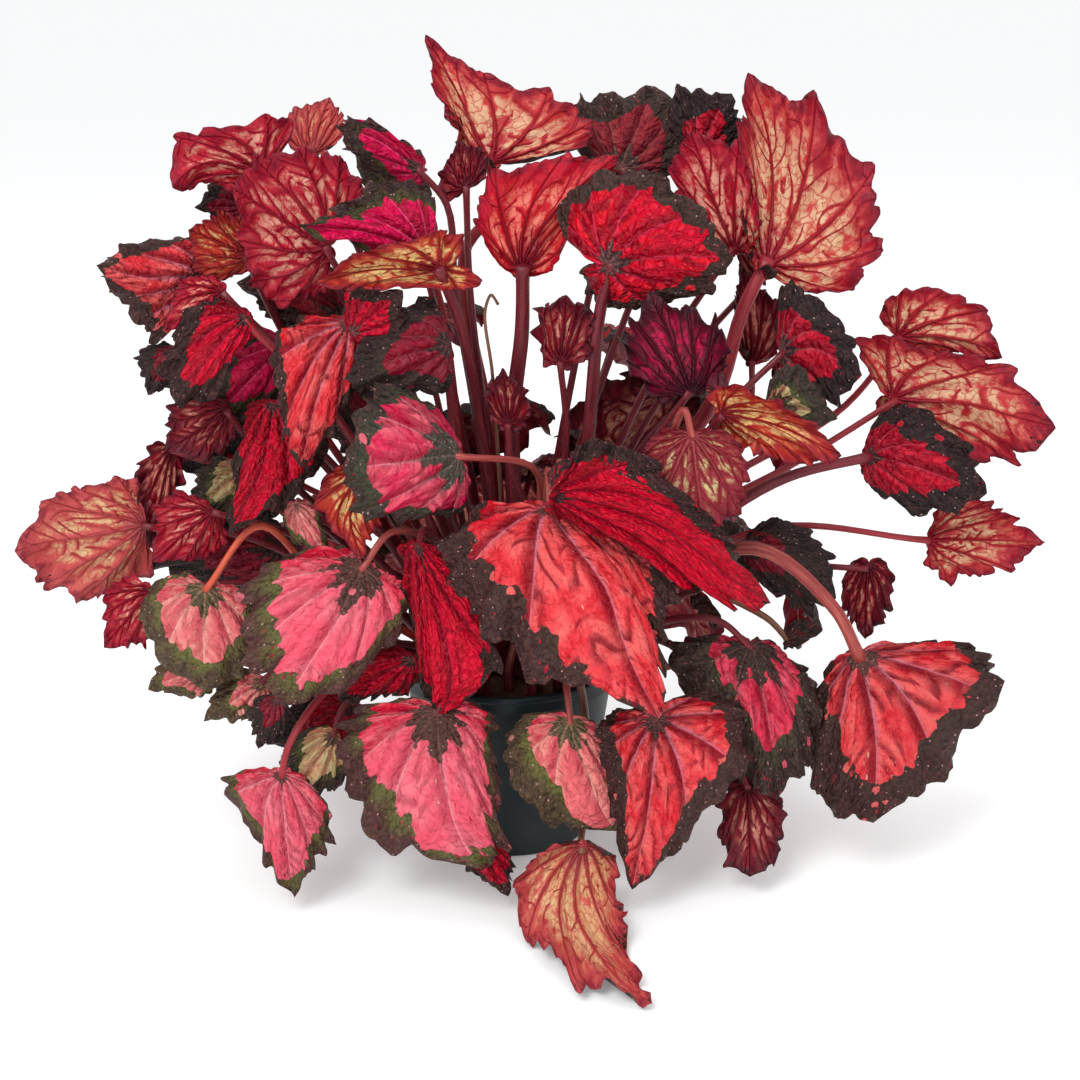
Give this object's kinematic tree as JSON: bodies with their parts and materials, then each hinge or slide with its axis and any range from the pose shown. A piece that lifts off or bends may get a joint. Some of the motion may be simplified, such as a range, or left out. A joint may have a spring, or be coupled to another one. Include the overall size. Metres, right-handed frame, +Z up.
{
  "type": "potted rex begonia",
  "caption": "Bushy rex begonia with heart-shaped, red and dark patterned leaves on arching stalks, growing in a round tapered nursery pot.",
  "frame": {"origin": "centre of the pot's base, on the surface it stands on", "axes": "+Z up along the pot's axis, -Y towards the side the plant is seen from, +X to the right of that view"},
  "size_m": [0.5573, 0.3596, 0.4533],
  "materials": {
    "pot_plastic": "satin dark teal-green",
    "soil": "matte crumbly peat",
    "rhizome": "matte scaly brown",
    "leaf_coral": "satin leaf, coral over a dark margin",
    "leaf_crimson": "satin leaf, crimson over a dark margin",
    "leaf_dark": "satin leaf, brown-black with few pink marks",
    "leaf_magenta": "satin leaf, magenta over a dark margin",
    "leaf_olive": "satin leaf, olive with pale marks",
    "leaf_pale": "satin leaf, pale pink over an olive margin",
    "leaf_pink": "satin leaf, pink over a dark margin",
    "leaf_underside": "matte leaf underside, cream cells between red veins",
    "leaf_wine": "matte ruffled leaf underside, wine red"
  },
  "bodies": {
    "root": {"pot": "pot_plastic", "soil": "soil", "rhizome_mat": "rhizome", "leaf_front_center": "leaf_coral", "leaf_scarlet_diagonal": "leaf_crimson", "leaf_before_pot": "leaf_pale", "leaf_lower_right_coral": "leaf_coral", "leaf_lower_left_big_pink": "leaf_pink", "leaf_lower_left_hot_pink": "leaf_pink", "leaf_crimson_vertical": "leaf_crimson", "leaf_left_center_pink": "leaf_magenta", "leaf_left_coral": "leaf_coral", "leaf_left_crimson": "leaf_crimson", "leaf_left_dark_crimson": "leaf_crimson", "leaf_left_ruffled": "leaf_crimson", "leaf_far_left_coral": "leaf_coral", "shoot_left_cream": "leaf_underside", "shoot_left_purple": "leaf_wine", "shoot_left_maroon": "leaf_wine", "shoot_far_left": "leaf_underside", "leaf_left_pale_pink": "leaf_pale", "shoot_lower_left_small": "leaf_olive", "leaf_lower_left_hanging": "leaf_pink", "shoot_lower_left_cream": "leaf_pale", "shoot_left_inner": "leaf_dark", "shoot_left_olive_cream": "leaf_olive", "shoot_left_curled": "leaf_dark", "leaf_orange_underside": "leaf_underside", "leaf_upper_left_magenta": "leaf_magenta", "leaf_upper_left_broad": "leaf_underside", "shoot_upper_left_small": "leaf_olive", "shoot_upper_left": "leaf_underside", "shoot_top_left": "leaf_magenta", "leaf_top_center": "leaf_underside", "leaf_top_scarlet": "leaf_crimson", "shoot_center_ruffled": "leaf_wine", "shoot_top_dark": "leaf_dark", "shoot_upper_right_dark": "leaf_wine", "leaf_bright_red": "leaf_crimson", "leaf_top_right": "leaf_underside", "leaf_right_black_red": "leaf_dark", "leaf_right_ruffled": "leaf_wine", "leaf_young_folded": "leaf_magenta", "leaf_right_upper": "leaf_underside", "leaf_right_broad": "leaf_underside", "leaf_right_red": "leaf_crimson", "leaf_far_right_underside": "leaf_underside", "shoot_right_orange": "leaf_underside", "leaf_center_right_hanging": "leaf_wine", "leaf_right_center_brown": "leaf_wine", "leaf_lower_right_dark": "leaf_dark", "leaf_lower_right_hanging": "leaf_dark", "leaf_right_lower_coral": "leaf_coral", "shoot_right_purple_bud": "leaf_wine", "leaf_bottom": "leaf_underside", "shoot_back_left_high": "leaf_crimson", "shoot_back_left_low": "leaf_wine", "shoot_back_middle": "leaf_dark", "shoot_back_right_high": "leaf_crimson", "shoot_back_right_low": "leaf_wine"}
  },
  "joints": []
}
